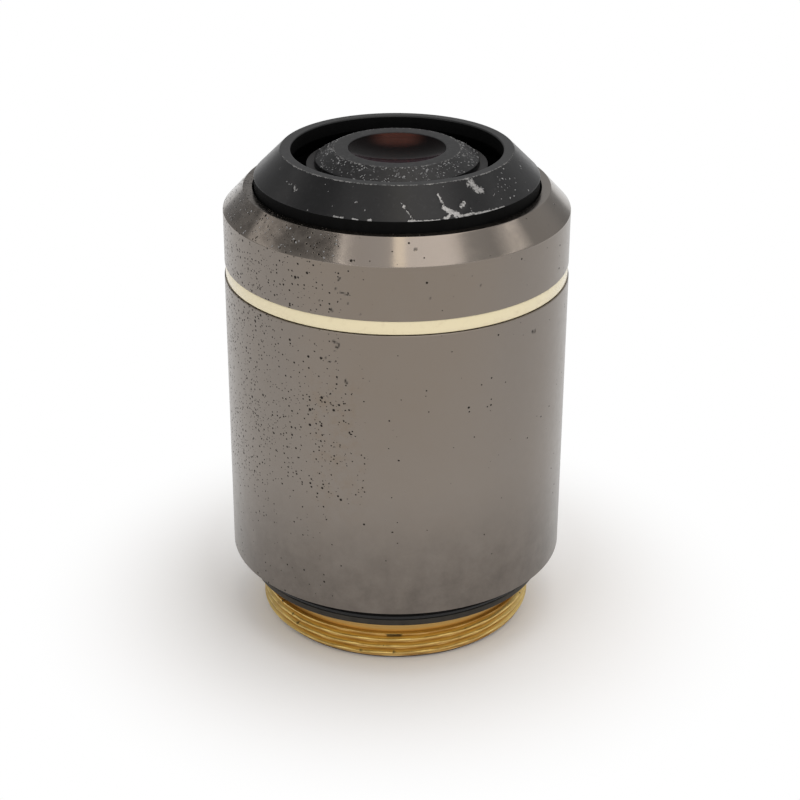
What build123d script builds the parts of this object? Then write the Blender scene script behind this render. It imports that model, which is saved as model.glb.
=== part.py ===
"""Microscope objective for reflected bright-field and dark-field work, long working distance.

Millimetres, +Z up. The origin is the centre of the rear end face of the mounting thread, so the
objective stands on its thread with the nose up. Every turned piece is drawn as its half section,
radius against height, and spun about Z. Radii build up from the front lens outwards, and heights
from the thread up through the stack of lens cells to the nose.
"""
from build123d import *
from math import copysign, sqrt
import os

os.makedirs("parts", exist_ok=True)

# Clearances between pieces that screw, slide or drop into each other, on the radius
screw_fit = 0.05
bore_fit = 0.02
slip_fit = 0.03
edge_break = 0.12

# Front lens, a thick meniscus with a stepped ground edge. A curve above zero has its centre
# behind the surface, here and in every other lens.
front_lens_recess = 0.05
front_lens_radius = 4.3
front_lens_step = 1.3
front_lens_land = 0.25
front_lens_cone = 0.85
front_lens_thickness = 4.1
front_lens_front_curve = -14.0
front_lens_rear_curve = -7.2

# Second lens, its spacer and its screw ring
second_lens_step = 0.6
second_lens_air = 0.35
second_lens_thickness = 3.0
second_lens_front_curve = -25.0
second_lens_rear_curve = -9.0
front_spacer_seat = 0.15
second_ring_wall = 0.6
second_ring_height = 1.0

# Cemented groups behind the nose cell, from the front. Each has the radius of its ground edge,
# the radii of curvature of its surfaces, and its glasses with the thickness where they are thinnest.
lens_groups = {
    "front_doublet": {
        "edge": 6.4,
        "curves": (16.0, -10.5, -30.0),
        "glasses": {"front_doublet_crown": 0.7, "front_doublet_flint": 1.2},
    },
    "triplet": {
        "edge": 5.8,
        "curves": (15.0, -10.0, 12.0, -20.0),
        "glasses": {"triplet_front_crown": 0.6, "triplet_flint": 1.0, "triplet_rear_crown": 0.8},
    },
    "middle_doublet": {
        "edge": 4.9,
        "curves": (13.0, -9.0, -60.0),
        "glasses": {"middle_doublet_crown": 0.6, "middle_doublet_flint": 1.0},
    },
    "meniscus_front": {
        "edge": 3.6,
        "curves": (7.0, -40.0, 4.8),
        "glasses": {"meniscus_front_crown": 1.5, "meniscus_front_flint": 1.0},
    },
    "meniscus_rear": {
        "edge": 3.1,
        "curves": (-4.0, 15.0, -6.5),
        "glasses": {"meniscus_rear_flint": 1.0, "meniscus_rear_crown": 1.3},
    },
}
cell_air = 0.2
cell_lip_width = 0.45
cell_lip_height = 0.45

# Nose cell, which holds the two front lenses and slides into the lens tube
nose_cell_wall = 1.05
nose_land_width = 1.32
nose_cone_height = 0.9
nose_reach = 1.4
nose_guide_length = 6.7
nose_flange_height = 1.2

# Lens tube
tube_nose_wall = 0.7
tube_nose_length = 4.7
tube_cone_height = 1.6
tube_shoulder_width = 0.7
tube_tail_wall = 0.9
tube_seat_width = 0.5
tube_tail_reach = 4.96
tube_tail_margin = 0.8

# Rear stop, rear ring, and the screws that centre the triplet
stop_thickness = 0.4
stop_aperture_radius = 1.6
rear_ring_height = 1.4
rear_ring_width = 2.75
notch_width = 1.2
notch_depth = 0.6
centring_screw_radius = 0.7
centring_screw_count = 3
centring_screw_sink = 0.1
centring_slot_width = 0.25
centring_slot_depth = 0.4

# Spider that hangs the lens tube in the body tube, and its lock ring
spider_height = 2.4
spider_hub_wall = 0.93
spider_rim_width = 1.15
spider_arm_width = 2.2
spider_arm_count = 3
lock_ring_wall = 0.75
lock_ring_height = 1.5

# Body tube, with the dark-field channel between it and the lens tube
channel_width = 2.9
body_wall = 1.6
collar_step = 0.3
collar_length = 3.1
spider_ledge = 0.8

# Mounting thread, drawn at its crests, and the brass spigot above it
thread_step = 0.05
thread_length = 3.4
thread_lead_in = 0.7
undercut_length = 1.1
undercut_depth = 0.65
spigot_length = 5.1
spigot_recess = 0.1
mount_wall = 1.65

# Parfocal ring, whose lower face seats on the nosepiece
parfocal_width = 0.8
parfocal_height = 0.6

# Outer sleeves and the colour band between them
sleeve_wall = 1.55
skirt_length = 1.5
front_sleeve_setback = 0.04
front_sleeve_length = 8.08
front_wall = 3.68
front_wall_gap = 0.05
shoulder_width = 1.84
shoulder_drop = 1.97
band_setback = 0.06
band_height = 1.23
band_wall = 0.75
band_gap = 0.05

# Nose bezel, the black cone that carries the dark-field ring lens
neck_step = 0.35
neck_gap = 0.15
neck_height = 0.97
cone_height = 2.35
nose_gap = 2.1
rim_width = 0.93
rim_bore_depth = 1.2
throat_depth = 3.1
bezel_spigot_wall = 0.75
bezel_spigot_length = 3.9

# Dark-field ring lens and its retainer
ring_lens_rise = 1.95
ring_lens_height = 2.1
ring_lens_land = 0.45
ring_lens_crown = 1.3
ring_lens_inner_wall = 0.8
ring_lens_nose_gap = 0.35
ring_lens_foot_gap = 0.4
ring_lens_ledge = 0.4
retainer_height = 1.3
retainer_width = 0.88


def sag(curve, radius):
    """How far a spherical surface falls behind its vertex at a distance from the axis."""
    return curve - copysign(sqrt(curve**2 - radius**2), curve)


def surface_z(vertex_z, curve, radius):
    """Height of a spherical surface at a distance from the axis."""
    return vertex_z - sag(curve, radius)


def surface_arc(vertex_z, curve, radius):
    """Half section of a spherical surface, from the axis out to its edge."""
    middle = radius / 2
    return ThreePointArc(
        (0, vertex_z),
        (middle, surface_z(vertex_z, curve, middle)),
        (radius, surface_z(vertex_z, curve, radius)),
    )


def glass_thicknesses(group):
    """Thickness on the axis of each glass of a cemented group, from the front."""
    edge = group["edge"]
    curves = group["curves"]
    return [
        thinnest + max(0, sag(front, edge) - sag(rear, edge))
        for thinnest, front, rear in zip(group["glasses"].values(), curves, curves[1:])
    ]


def first_vertex_depth(group):
    """How far the first vertex of a cemented group lies below the top of its cell."""
    return cell_air + max(0, -sag(group["curves"][0], group["edge"]))


def cell_height(group):
    """Height of a cell: the glasses, the lip under their edge, and air at both ends."""
    lip_depth = max(0, sag(group["curves"][-1], group["edge"]) + cell_lip_height)
    return first_vertex_depth(group) + sum(glass_thicknesses(group)) + lip_depth + cell_air


# Radii from the front lens outwards
front_lens_edge_radius = front_lens_radius + front_lens_step
second_lens_radius = front_lens_edge_radius + second_lens_step
nose_lens_bore_radius = second_lens_radius + bore_fit
nose_cell_radius = nose_lens_bore_radius + nose_cell_wall
tube_nose_bore_radius = nose_cell_radius + slip_fit
tube_nose_radius = tube_nose_bore_radius + tube_nose_wall
tube_bore_radius = tube_nose_bore_radius + tube_shoulder_width
cell_radius = tube_bore_radius - slip_fit
tube_tail_radius = tube_bore_radius + tube_tail_wall
tube_radius = tube_tail_radius + tube_seat_width
channel_radius = tube_radius + channel_width
body_radius = channel_radius + body_wall
body_bore_radius = channel_radius + spider_ledge
collar_radius = body_radius + collar_step
spigot_radius = body_bore_radius - screw_fit
thread_radius = spigot_radius - thread_step
sleeve_bore_radius = body_radius + screw_fit
barrel_radius = sleeve_bore_radius + sleeve_wall
front_sleeve_radius = barrel_radius - front_sleeve_setback
band_radius = front_sleeve_radius - band_setback
band_bore_radius = band_radius - band_wall
neck_radius = channel_radius + neck_step
rim_bore_radius = nose_cell_radius + nose_gap
bezel_spigot_radius = channel_radius - screw_fit
pocket_radius = bezel_spigot_radius - bezel_spigot_wall
ring_lens_radius = pocket_radius - bore_fit

# Heights from the rear end of the thread up to the nose
seat_z = thread_length + undercut_length
body_z = seat_z + parfocal_height
collar_z = body_z + collar_length
spigot_top_z = seat_z + spigot_length
spider_top_z = spigot_top_z + spider_height
tube_tail_z = spigot_top_z - lock_ring_height - tube_tail_reach
rear_ring_z = tube_tail_z + tube_tail_margin
rear_stop_z = rear_ring_z + rear_ring_height
stack_bottom_z = rear_stop_z + stop_thickness
nose_cell_z = stack_bottom_z + sum(cell_height(group) for group in lens_groups.values())
tube_shoulder_z = nose_cell_z + nose_flange_height
tube_front_z = tube_shoulder_z + nose_guide_length
nose_top_z = tube_front_z + nose_reach

# Heights from the nose back down the outside
neck_top_z = nose_top_z - cone_height
front_sleeve_top_z = neck_top_z - neck_height
front_wall_z = front_sleeve_top_z - front_wall
body_top_z = front_wall_z - front_wall_gap
sleeve_joint_z = front_sleeve_top_z - front_sleeve_length
band_bottom_z = sleeve_joint_z + band_gap
band_top_z = band_bottom_z + band_height
ring_lens_land_z = body_top_z + ring_lens_rise
ring_lens_z = ring_lens_land_z - ring_lens_height

# Thread mount: brass, with the thread, its undercut, and the spigot that screws into the body tube
undercut_radius = thread_radius - undercut_depth
mount_bore_radius = spigot_radius - mount_wall
spigot_z = seat_z + spigot_recess
with BuildPart() as thread_mount:
    with BuildSketch(Plane.XZ):
        with BuildLine():
            Polyline(
                (mount_bore_radius, 0),
                (thread_radius, 0),
                (thread_radius, thread_length),
                (undercut_radius, thread_length),
                (undercut_radius, spigot_z),
                (spigot_radius, spigot_z),
                (spigot_radius, spigot_top_z),
                (mount_bore_radius, spigot_top_z),
                close=True,
            )
        make_face()
    revolve(axis=Axis.Z)
    rear_edges = thread_mount.edges().group_by(Axis.Z)[0].sort_by(SortBy.LENGTH)
    chamfer(rear_edges[-1], thread_lead_in)
    chamfer(rear_edges[0], edge_break)

thread_mount.part.label = "thread_mount"
export_step(thread_mount.part, "parts/thread_mount.step")

# Parfocal ring: screws along the spigot, and its lower face is the seat on the nosepiece
with BuildPart() as parfocal_ring:
    with BuildSketch(Plane.XY.offset(seat_z)):
        Circle(body_bore_radius + parfocal_width)
        Circle(body_bore_radius, mode=Mode.SUBTRACT)
    extrude(amount=parfocal_height)
    ring_rims = parfocal_ring.edges().filter_by(GeomType.CIRCLE).group_by(SortBy.RADIUS)[-1]
    chamfer(ring_rims, edge_break)

parfocal_ring.part.label = "parfocal_ring"
export_step(parfocal_ring.part, "parts/parfocal_ring.step")

# Body tube: carries the mount, the spider, both sleeves and the nose bezel
with BuildPart() as body_tube:
    with BuildSketch(Plane.XZ):
        with BuildLine():
            Polyline(
                (body_bore_radius, body_z),
                (collar_radius, body_z),
                (collar_radius, collar_z),
                (body_radius, collar_z),
                (body_radius, body_top_z),
                (channel_radius, body_top_z),
                (channel_radius, spider_top_z),
                (body_bore_radius, spider_top_z),
                close=True,
            )
        make_face()
    revolve(axis=Axis.Z)
    collar_rim = body_tube.edges().filter_by(GeomType.CIRCLE).group_by(Axis.Z)[0]
    chamfer(collar_rim.sort_by(SortBy.LENGTH)[-1], edge_break)

body_tube.part.label = "body_tube"
export_step(body_tube.part, "parts/body_tube.step")

# Main sleeve: drops over the body tube from the front and rests on its collar
sleeve_bottom_z = collar_z - skirt_length
skirt_bore_radius = collar_radius + screw_fit
with BuildPart() as main_sleeve:
    with BuildSketch(Plane.XZ):
        with BuildLine():
            Polyline(
                (skirt_bore_radius, sleeve_bottom_z),
                (barrel_radius, sleeve_bottom_z),
                (barrel_radius, sleeve_joint_z),
                (sleeve_bore_radius, sleeve_joint_z),
                (sleeve_bore_radius, collar_z),
                (skirt_bore_radius, collar_z),
                close=True,
            )
        make_face()
    revolve(axis=Axis.Z)
    sleeve_rims = main_sleeve.edges().filter_by(GeomType.CIRCLE).group_by(SortBy.RADIUS)[-1]
    chamfer(sleeve_rims, edge_break / 2)

main_sleeve.part.label = "main_sleeve"
export_step(main_sleeve.part, "parts/main_sleeve.step")

# Colour band: enamelled ring in the rabbet of the front sleeve
with BuildPart() as colour_band:
    with BuildSketch(Plane.XY.offset(band_bottom_z)):
        Circle(band_radius)
        Circle(band_bore_radius, mode=Mode.SUBTRACT)
    extrude(amount=band_height)

colour_band.part.label = "colour_band"
export_step(colour_band.part, "parts/colour_band.step")

# Front sleeve: screws on the body tube, clamps the main sleeve and ends in the sloped shoulder
rabbet_radius = band_bore_radius - bore_fit
shoulder_radius = front_sleeve_radius - shoulder_width
mouth_radius = neck_radius + neck_gap
with BuildPart() as front_sleeve:
    with BuildSketch(Plane.XZ):
        with BuildLine():
            Polyline(
                (sleeve_bore_radius, sleeve_joint_z),
                (rabbet_radius, sleeve_joint_z),
                (rabbet_radius, band_top_z),
                (front_sleeve_radius, band_top_z),
                (front_sleeve_radius, front_sleeve_top_z - shoulder_drop),
                (shoulder_radius, front_sleeve_top_z),
                (mouth_radius, front_sleeve_top_z),
                (mouth_radius, front_wall_z),
                (sleeve_bore_radius, front_wall_z),
                close=True,
            )
        make_face()
    revolve(axis=Axis.Z)

front_sleeve.part.label = "front_sleeve"
export_step(front_sleeve.part, "parts/front_sleeve.step")

# Nose bezel: screws into the front of the body tube, and its rim rings the front lens
bezel_spigot_z = body_top_z - bezel_spigot_length
throat_radius = pocket_radius - ring_lens_ledge
with BuildPart() as nose_bezel:
    with BuildSketch(Plane.XZ):
        with BuildLine():
            Polyline(
                (pocket_radius, bezel_spigot_z),
                (bezel_spigot_radius, bezel_spigot_z),
                (bezel_spigot_radius, body_top_z),
                (neck_radius, body_top_z),
                (neck_radius, neck_top_z),
                (rim_bore_radius + rim_width, nose_top_z),
                (rim_bore_radius, nose_top_z),
                (rim_bore_radius, nose_top_z - rim_bore_depth),
                (throat_radius, nose_top_z - throat_depth),
                (throat_radius, ring_lens_land_z),
                (pocket_radius, ring_lens_land_z),
                close=True,
            )
        make_face()
    revolve(axis=Axis.Z)
    rim_edges = nose_bezel.edges().filter_by(GeomType.CIRCLE).group_by(Axis.Z)[-1]
    fillet(rim_edges, edge_break)

nose_bezel.part.label = "nose_bezel"
export_step(nose_bezel.part, "parts/nose_bezel.step")

# Dark-field ring lens: an annular prism that turns the outer light in towards the specimen
ring_lens_bore_radius = tube_nose_radius + ring_lens_nose_gap
ring_lens_crown_z = ring_lens_land_z + ring_lens_crown
with BuildPart() as ring_lens:
    with BuildSketch(Plane.XZ):
        with BuildLine():
            Polyline(
                (tube_radius + ring_lens_foot_gap, ring_lens_z),
                (ring_lens_radius, ring_lens_z),
                (ring_lens_radius, ring_lens_land_z),
                (ring_lens_radius - ring_lens_land, ring_lens_land_z),
                (ring_lens_bore_radius, ring_lens_crown_z),
                (ring_lens_bore_radius, ring_lens_crown_z - ring_lens_inner_wall),
                close=True,
            )
        make_face()
    revolve(axis=Axis.Z)

ring_lens.part.label = "ring_lens"
export_step(ring_lens.part, "parts/ring_lens.step")

# Ring lens retainer: screw ring with two spanner notches
retainer_z = ring_lens_z - retainer_height
with BuildPart() as ring_lens_retainer:
    with BuildSketch(Plane.XY.offset(retainer_z)):
        Circle(ring_lens_radius)
        Circle(ring_lens_radius - retainer_width, mode=Mode.SUBTRACT)
    extrude(amount=retainer_height)
    with BuildSketch(Plane.XY.offset(retainer_z)):
        Rectangle(2 * pocket_radius, notch_width)
    extrude(amount=notch_depth, mode=Mode.SUBTRACT)

ring_lens_retainer.part.label = "ring_lens_retainer"
export_step(ring_lens_retainer.part, "parts/ring_lens_retainer.step")

# Spider: three arms between an outer rim and the hub, with the dark-field windows between them
spider_rim_bore_radius = spigot_radius - spider_rim_width
with BuildPart() as spider:
    with BuildSketch(Plane.XY.offset(spigot_top_z)):
        Circle(spigot_radius)
        Circle(spider_rim_bore_radius, mode=Mode.SUBTRACT)
        Circle(tube_tail_radius + bore_fit + spider_hub_wall)
        with PolarLocations(0, spider_arm_count, start_angle=90):
            arm_reach = (spider_rim_bore_radius + spigot_radius) / 2
            Rectangle(arm_reach, spider_arm_width, align=(Align.MIN, Align.CENTER))
        Circle(tube_tail_radius + bore_fit, mode=Mode.SUBTRACT)
    extrude(amount=spider_height)

spider.part.label = "spider"
export_step(spider.part, "parts/spider.step")

# Tube lock ring: screws up the tail of the lens tube against the hub of the spider
lock_ring_bore_radius = tube_tail_radius + screw_fit
lock_ring_radius = lock_ring_bore_radius + lock_ring_wall
lock_ring_z = spigot_top_z - lock_ring_height
with BuildPart() as tube_lock_ring:
    with BuildSketch(Plane.XY.offset(lock_ring_z)):
        Circle(lock_ring_radius)
        Circle(lock_ring_bore_radius, mode=Mode.SUBTRACT)
    extrude(amount=lock_ring_height)
    with BuildSketch(Plane.XY.offset(lock_ring_z)):
        Rectangle(2 * lock_ring_radius, notch_width)
    extrude(amount=notch_depth, mode=Mode.SUBTRACT)

tube_lock_ring.part.label = "tube_lock_ring"
export_step(tube_lock_ring.part, "parts/tube_lock_ring.step")

# Front lens: its hollow front face ends just inside the nose
front_lens_face_z = nose_top_z - front_lens_recess
front_lens_vertex_z = front_lens_face_z + sag(front_lens_front_curve, front_lens_radius)
front_lens_rear_z = front_lens_vertex_z - front_lens_thickness
front_lens_land_z = front_lens_face_z - front_lens_land
front_lens_cone_z = front_lens_land_z - front_lens_cone
with BuildPart() as front_lens:
    with BuildSketch(Plane.XZ):
        with BuildLine():
            front_face = surface_arc(front_lens_vertex_z, front_lens_front_curve, front_lens_radius)
            rear_face = surface_arc(front_lens_rear_z, front_lens_rear_curve, front_lens_edge_radius)
            Polyline(
                front_face @ 1,
                (front_lens_radius, front_lens_land_z),
                (front_lens_edge_radius, front_lens_cone_z),
                rear_face @ 1,
            )
            Line(front_face @ 0, rear_face @ 0)
        make_face()
    revolve(axis=Axis.Z)

front_lens.part.label = "front_lens"
export_step(front_lens.part, "parts/front_lens.step")


def ground_lens(front_vertex, front_curve, rear_vertex, rear_curve, edge_radius):
    """A lens with two spherical faces and a cylindrical ground edge."""
    with BuildPart() as lens:
        with BuildSketch(Plane.XZ):
            with BuildLine():
                front = surface_arc(front_vertex, front_curve, edge_radius)
                rear = surface_arc(rear_vertex, rear_curve, edge_radius)
                Line(front @ 1, rear @ 1)
                Line(front @ 0, rear @ 0)
            make_face()
        revolve(axis=Axis.Z)
    return lens.part


# Second lens: deep meniscus behind the front lens, in the same cell
second_lens_vertex_z = front_lens_rear_z - second_lens_air
second_lens_rear_z = second_lens_vertex_z - second_lens_thickness
second_lens = ground_lens(
    second_lens_vertex_z,
    second_lens_front_curve,
    second_lens_rear_z,
    second_lens_rear_curve,
    second_lens_radius,
)
second_lens.label = "second_lens"
export_step(second_lens, "parts/second_lens.step")

# Front spacer: keeps the two front lenses apart and seats on the edges of both
spacer_bore_radius = front_lens_edge_radius - front_spacer_seat
spacer_top_z = surface_z(front_lens_rear_z, front_lens_rear_curve, spacer_bore_radius)
spacer_z = surface_z(second_lens_vertex_z, second_lens_front_curve, second_lens_radius)
with BuildPart() as front_spacer:
    with BuildSketch(Plane.XY.offset(spacer_z)):
        Circle(second_lens_radius)
        Circle(spacer_bore_radius, mode=Mode.SUBTRACT)
    extrude(amount=spacer_top_z - spacer_z)

front_spacer.part.label = "front_spacer"
export_step(front_spacer.part, "parts/front_spacer.step")

# Second lens ring: screw ring that closes the nose cell from behind, with two spanner notches
second_ring_bore_radius = second_lens_radius - second_ring_wall
second_ring_top_z = surface_z(second_lens_rear_z, second_lens_rear_curve, second_ring_bore_radius)
second_ring_z = second_ring_top_z - second_ring_height
with BuildPart() as second_lens_ring:
    with BuildSketch(Plane.XY.offset(second_ring_z)):
        Circle(second_lens_radius)
        Circle(second_ring_bore_radius, mode=Mode.SUBTRACT)
    extrude(amount=second_ring_height)
    with BuildSketch(Plane.XY.offset(second_ring_z)):
        Rectangle(2 * second_lens_radius, notch_width)
    extrude(amount=notch_depth, mode=Mode.SUBTRACT)

second_lens_ring.part.label = "second_lens_ring"
export_step(second_lens_ring.part, "parts/second_lens_ring.step")

# Nose cell: black brass, with the flat land and cone round the front lens. It slides into the lens
# tube from behind until its flange meets the shoulder of the tube.
nose_bore_radius = front_lens_radius + bore_fit
front_lens_bore_radius = front_lens_edge_radius + bore_fit
with BuildPart() as nose_cell:
    with BuildSketch(Plane.XZ):
        with BuildLine():
            Polyline(
                (nose_bore_radius, nose_top_z),
                (nose_bore_radius + nose_land_width, nose_top_z),
                (nose_cell_radius, nose_top_z - nose_cone_height),
                (nose_cell_radius, tube_shoulder_z),
                (cell_radius, tube_shoulder_z),
                (cell_radius, nose_cell_z),
                (nose_lens_bore_radius, nose_cell_z),
                (nose_lens_bore_radius, spacer_top_z + bore_fit),
                (front_lens_bore_radius, spacer_top_z + bore_fit),
                (front_lens_bore_radius, front_lens_cone_z + bore_fit),
                (nose_bore_radius, front_lens_land_z + bore_fit),
                close=True,
            )
        make_face()
    revolve(axis=Axis.Z)

nose_cell.part.label = "nose_cell"
export_step(nose_cell.part, "parts/nose_cell.step")


def lens_cell(top_z, seat_top_z, bottom_z, lens_radius):
    """A cell that drops into the lens tube: a bore for the lens, and a lip that it rests on."""
    with BuildPart() as cell:
        with BuildSketch(Plane.XZ):
            with BuildLine():
                Polyline(
                    (cell_radius, top_z),
                    (cell_radius, bottom_z),
                    (lens_radius - cell_lip_width, bottom_z),
                    (lens_radius - cell_lip_width, seat_top_z),
                    (lens_radius + bore_fit, seat_top_z),
                    (lens_radius + bore_fit, top_z),
                    close=True,
                )
            make_face()
        revolve(axis=Axis.Z)
    return cell.part


# Cemented groups: each is dropped into its own cell, and the cells stack behind the nose cell
stack_z = nose_cell_z
for group_name, group in lens_groups.items():
    edge = group["edge"]
    curves = group["curves"]
    vertex_z = stack_z - first_vertex_depth(group)
    glasses = zip(group["glasses"], glass_thicknesses(group), curves, curves[1:])
    for glass_name, thickness, front_curve, rear_curve in glasses:
        rear_vertex_z = vertex_z - thickness
        glass = ground_lens(vertex_z, front_curve, rear_vertex_z, rear_curve, edge)
        glass.label = glass_name
        export_step(glass, f"parts/{glass_name}.step")
        vertex_z = rear_vertex_z

    seat_top_z = min(
        surface_z(vertex_z, curves[-1], edge),
        surface_z(vertex_z, curves[-1], edge - cell_lip_width),
    )
    cell_bottom_z = stack_z - cell_height(group)
    cell = lens_cell(stack_z, seat_top_z, cell_bottom_z, edge)
    if group_name == "triplet":
        centring_z = (stack_z + cell_bottom_z) / 2
    cell.label = f"{group_name}_cell"
    export_step(cell, f"parts/{group_name}_cell.step")
    stack_z = cell_bottom_z

# Rear stop: thin plate behind the last cell that bounds the imaging beam
with BuildPart() as rear_stop:
    with BuildSketch(Plane.XY.offset(rear_stop_z)):
        Circle(cell_radius)
        Circle(stop_aperture_radius, mode=Mode.SUBTRACT)
    extrude(amount=stop_thickness)

rear_stop.part.label = "rear_stop"
export_step(rear_stop.part, "parts/rear_stop.step")

# Rear ring: screws into the tail of the lens tube and clamps the whole stack
rear_ring_radius = tube_bore_radius - screw_fit
with BuildPart() as rear_ring:
    with BuildSketch(Plane.XY.offset(rear_ring_z)):
        Circle(rear_ring_radius)
        Circle(rear_ring_radius - rear_ring_width, mode=Mode.SUBTRACT)
    extrude(amount=rear_ring_height)
    with BuildSketch(Plane.XY.offset(rear_ring_z)):
        Rectangle(2 * rear_ring_radius, notch_width)
    extrude(amount=notch_depth, mode=Mode.SUBTRACT)

rear_ring.part.label = "rear_ring"
export_step(rear_ring.part, "parts/rear_ring.step")

# Lens tube: hangs by its shoulder in the spider and holds every cell. Holes in its wall let the
# triplet be centred.
tube_cone_top_z = tube_front_z - tube_nose_length
centring_angles = [index * 360 / centring_screw_count for index in range(centring_screw_count)]
with BuildPart() as lens_tube:
    with BuildSketch(Plane.XZ):
        with BuildLine():
            Polyline(
                (tube_bore_radius, tube_tail_z),
                (tube_tail_radius, tube_tail_z),
                (tube_tail_radius, spider_top_z),
                (tube_radius, spider_top_z),
                (tube_radius, tube_cone_top_z - tube_cone_height),
                (tube_nose_radius, tube_cone_top_z),
                (tube_nose_radius, tube_front_z),
                (tube_nose_bore_radius, tube_front_z),
                (tube_nose_bore_radius, tube_shoulder_z),
                (tube_bore_radius, tube_shoulder_z),
                close=True,
            )
        make_face()
    revolve(axis=Axis.Z)
    for angle in centring_angles:
        with BuildSketch(Plane((0, 0, centring_z), z_dir=Vector(1, 0, 0).rotate(Axis.Z, angle))):
            Circle(centring_screw_radius)
        extrude(amount=tube_radius, mode=Mode.SUBTRACT)

lens_tube.part.label = "lens_tube"
export_step(lens_tube.part, "parts/lens_tube.step")

# Centring screws: slotted grub screws that bear on the triplet cell from all sides
screw_length = tube_radius - centring_screw_sink - cell_radius
with BuildPart() as centring_screws:
    for angle in centring_angles:
        outward = Vector(1, 0, 0).rotate(Axis.Z, angle)
        foot = Vector(0, 0, centring_z) + outward * cell_radius
        with BuildSketch(Plane(foot, z_dir=outward)):
            Circle(centring_screw_radius - bore_fit)
        extrude(amount=screw_length)
        with BuildSketch(Plane(foot + outward * screw_length, z_dir=outward)):
            Rectangle(2 * centring_screw_radius, centring_slot_width)
        extrude(amount=-centring_slot_depth, mode=Mode.SUBTRACT)

centring_screws.part.label = "centring_screws"
export_step(centring_screws.part, "parts/centring_screws.step")
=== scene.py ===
"""Looks of the microscope objective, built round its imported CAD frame.

Metres, +Z up. The camera looks along +Y and down. Sizes of the object are written in millimetres and
become metres where a mesh is made; the floor and the lamps are written in metres. Angles round the
axis are in degrees from the camera side, growing to the right as the photo shows it.
"""

import math
import random

import bpy
import numpy as np
from mathutils import Matrix, Vector


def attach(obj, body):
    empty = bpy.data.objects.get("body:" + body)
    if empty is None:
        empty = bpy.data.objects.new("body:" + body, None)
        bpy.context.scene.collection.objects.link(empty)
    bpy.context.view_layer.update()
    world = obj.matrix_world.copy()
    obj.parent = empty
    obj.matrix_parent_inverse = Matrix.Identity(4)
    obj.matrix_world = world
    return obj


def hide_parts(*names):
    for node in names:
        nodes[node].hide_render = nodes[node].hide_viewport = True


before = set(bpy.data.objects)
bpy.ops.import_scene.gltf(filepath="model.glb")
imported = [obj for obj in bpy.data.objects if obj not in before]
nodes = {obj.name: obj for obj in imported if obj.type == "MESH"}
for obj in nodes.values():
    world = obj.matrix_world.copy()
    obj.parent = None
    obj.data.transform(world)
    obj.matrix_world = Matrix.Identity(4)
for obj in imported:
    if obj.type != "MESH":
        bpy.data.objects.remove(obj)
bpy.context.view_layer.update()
MM = 0.001
random.seed(7)


# Camera: angle, distance and framing of the photo
IMAGE_WIDTH = 800
SENSOR_WIDTH = 36
CAMERA_ELEVATION = math.radians(25.4791)
CAMERA_ROLL = math.radians(0.2278)
CAMERA_DISTANCE = 179.35 * MM
CAMERA_TARGET = Vector((0.3477, 0, 20.0)) * MM
FOCAL_PIXELS = 1918.51
AXIS_DROP_PIXELS = 5.06


def make_camera():
    data = bpy.data.cameras.new("photo_camera")
    data.sensor_width = SENSOR_WIDTH
    data.lens = FOCAL_PIXELS * SENSOR_WIDTH / IMAGE_WIDTH
    data.shift_y = AXIS_DROP_PIXELS / IMAGE_WIDTH
    data.clip_start = 0.01
    camera = bpy.data.objects.new("photo_camera", data)
    forward = Vector((0, math.cos(CAMERA_ELEVATION), -math.sin(CAMERA_ELEVATION)))
    aim = forward.to_track_quat("-Z", "Y").to_matrix() @ Matrix.Rotation(CAMERA_ROLL, 3, "Z")
    camera.matrix_world = Matrix.Translation(CAMERA_TARGET - forward * CAMERA_DISTANCE) @ aim.to_4x4()
    bpy.context.scene.collection.objects.link(camera)
    bpy.context.scene.camera = camera


# Node helpers
def add(tree, kind, values=None, **settings):
    """A shader node with its settings, and values or links on its inputs."""
    node = tree.nodes.new(kind)
    for key, value in settings.items():
        setattr(node, key, value)
    for key, value in (values or {}).items():
        if isinstance(value, bpy.types.NodeSocket):
            tree.links.new(value, node.inputs[key])
        else:
            node.inputs[key].default_value = value
    return node


def calc(tree, operation, *values, clamp=False):
    """Output of a math node."""
    node = add(tree, "ShaderNodeMath", dict(enumerate(values)), operation=operation, use_clamp=clamp)
    return node.outputs[0]


def smooth(tree, value, low, high):
    """0 below low, 1 above high, smooth in between; low may be above high."""
    node = add(
        tree,
        "ShaderNodeMapRange",
        {"Value": value, "From Min": low, "From Max": high, "To Min": 0.0, "To Max": 1.0},
        interpolation_type="SMOOTHSTEP",
    )
    return node.outputs[0]


def blend_colour(tree, factor, first, second):
    node = add(tree, "ShaderNodeMix", {0: factor, 6: first, 7: second}, data_type="RGBA")
    return node.outputs[2]


def blend_value(tree, factor, first, second):
    node = add(tree, "ShaderNodeMix", {0: factor, 2: first, 3: second}, data_type="FLOAT")
    return node.outputs[0]


def ramp(tree, factor, stops):
    """Grey ramp over (place, value) stops."""
    node = add(tree, "ShaderNodeValToRGB", {"Fac": factor})
    elements = node.color_ramp.elements
    while len(elements) < len(stops):
        elements.new(0.5)
    for element, (place, value) in zip(elements, stops):
        element.position = place
        element.color = (value, value, value, 1)
    return node.outputs[0]


def place_mm(tree):
    """Position on the object in millimetres."""
    where = add(tree, "ShaderNodeTexCoord").outputs["Object"]
    scaled = add(tree, "ShaderNodeVectorMath", {0: where, "Scale": 1 / MM}, operation="SCALE")
    return scaled.outputs[0]


def speckle(tree, vector, scale, detail=2.0, roughness=0.5):
    values = {"Vector": vector, "Scale": scale, "Detail": detail, "Roughness": roughness}
    return add(tree, "ShaderNodeTexNoise", values).outputs[0]


def bump(tree, height, depth_mm):
    values = {"Height": height, "Strength": 1.0, "Distance": depth_mm * MM}
    return add(tree, "ShaderNodeBump", values).outputs[0]


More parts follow.
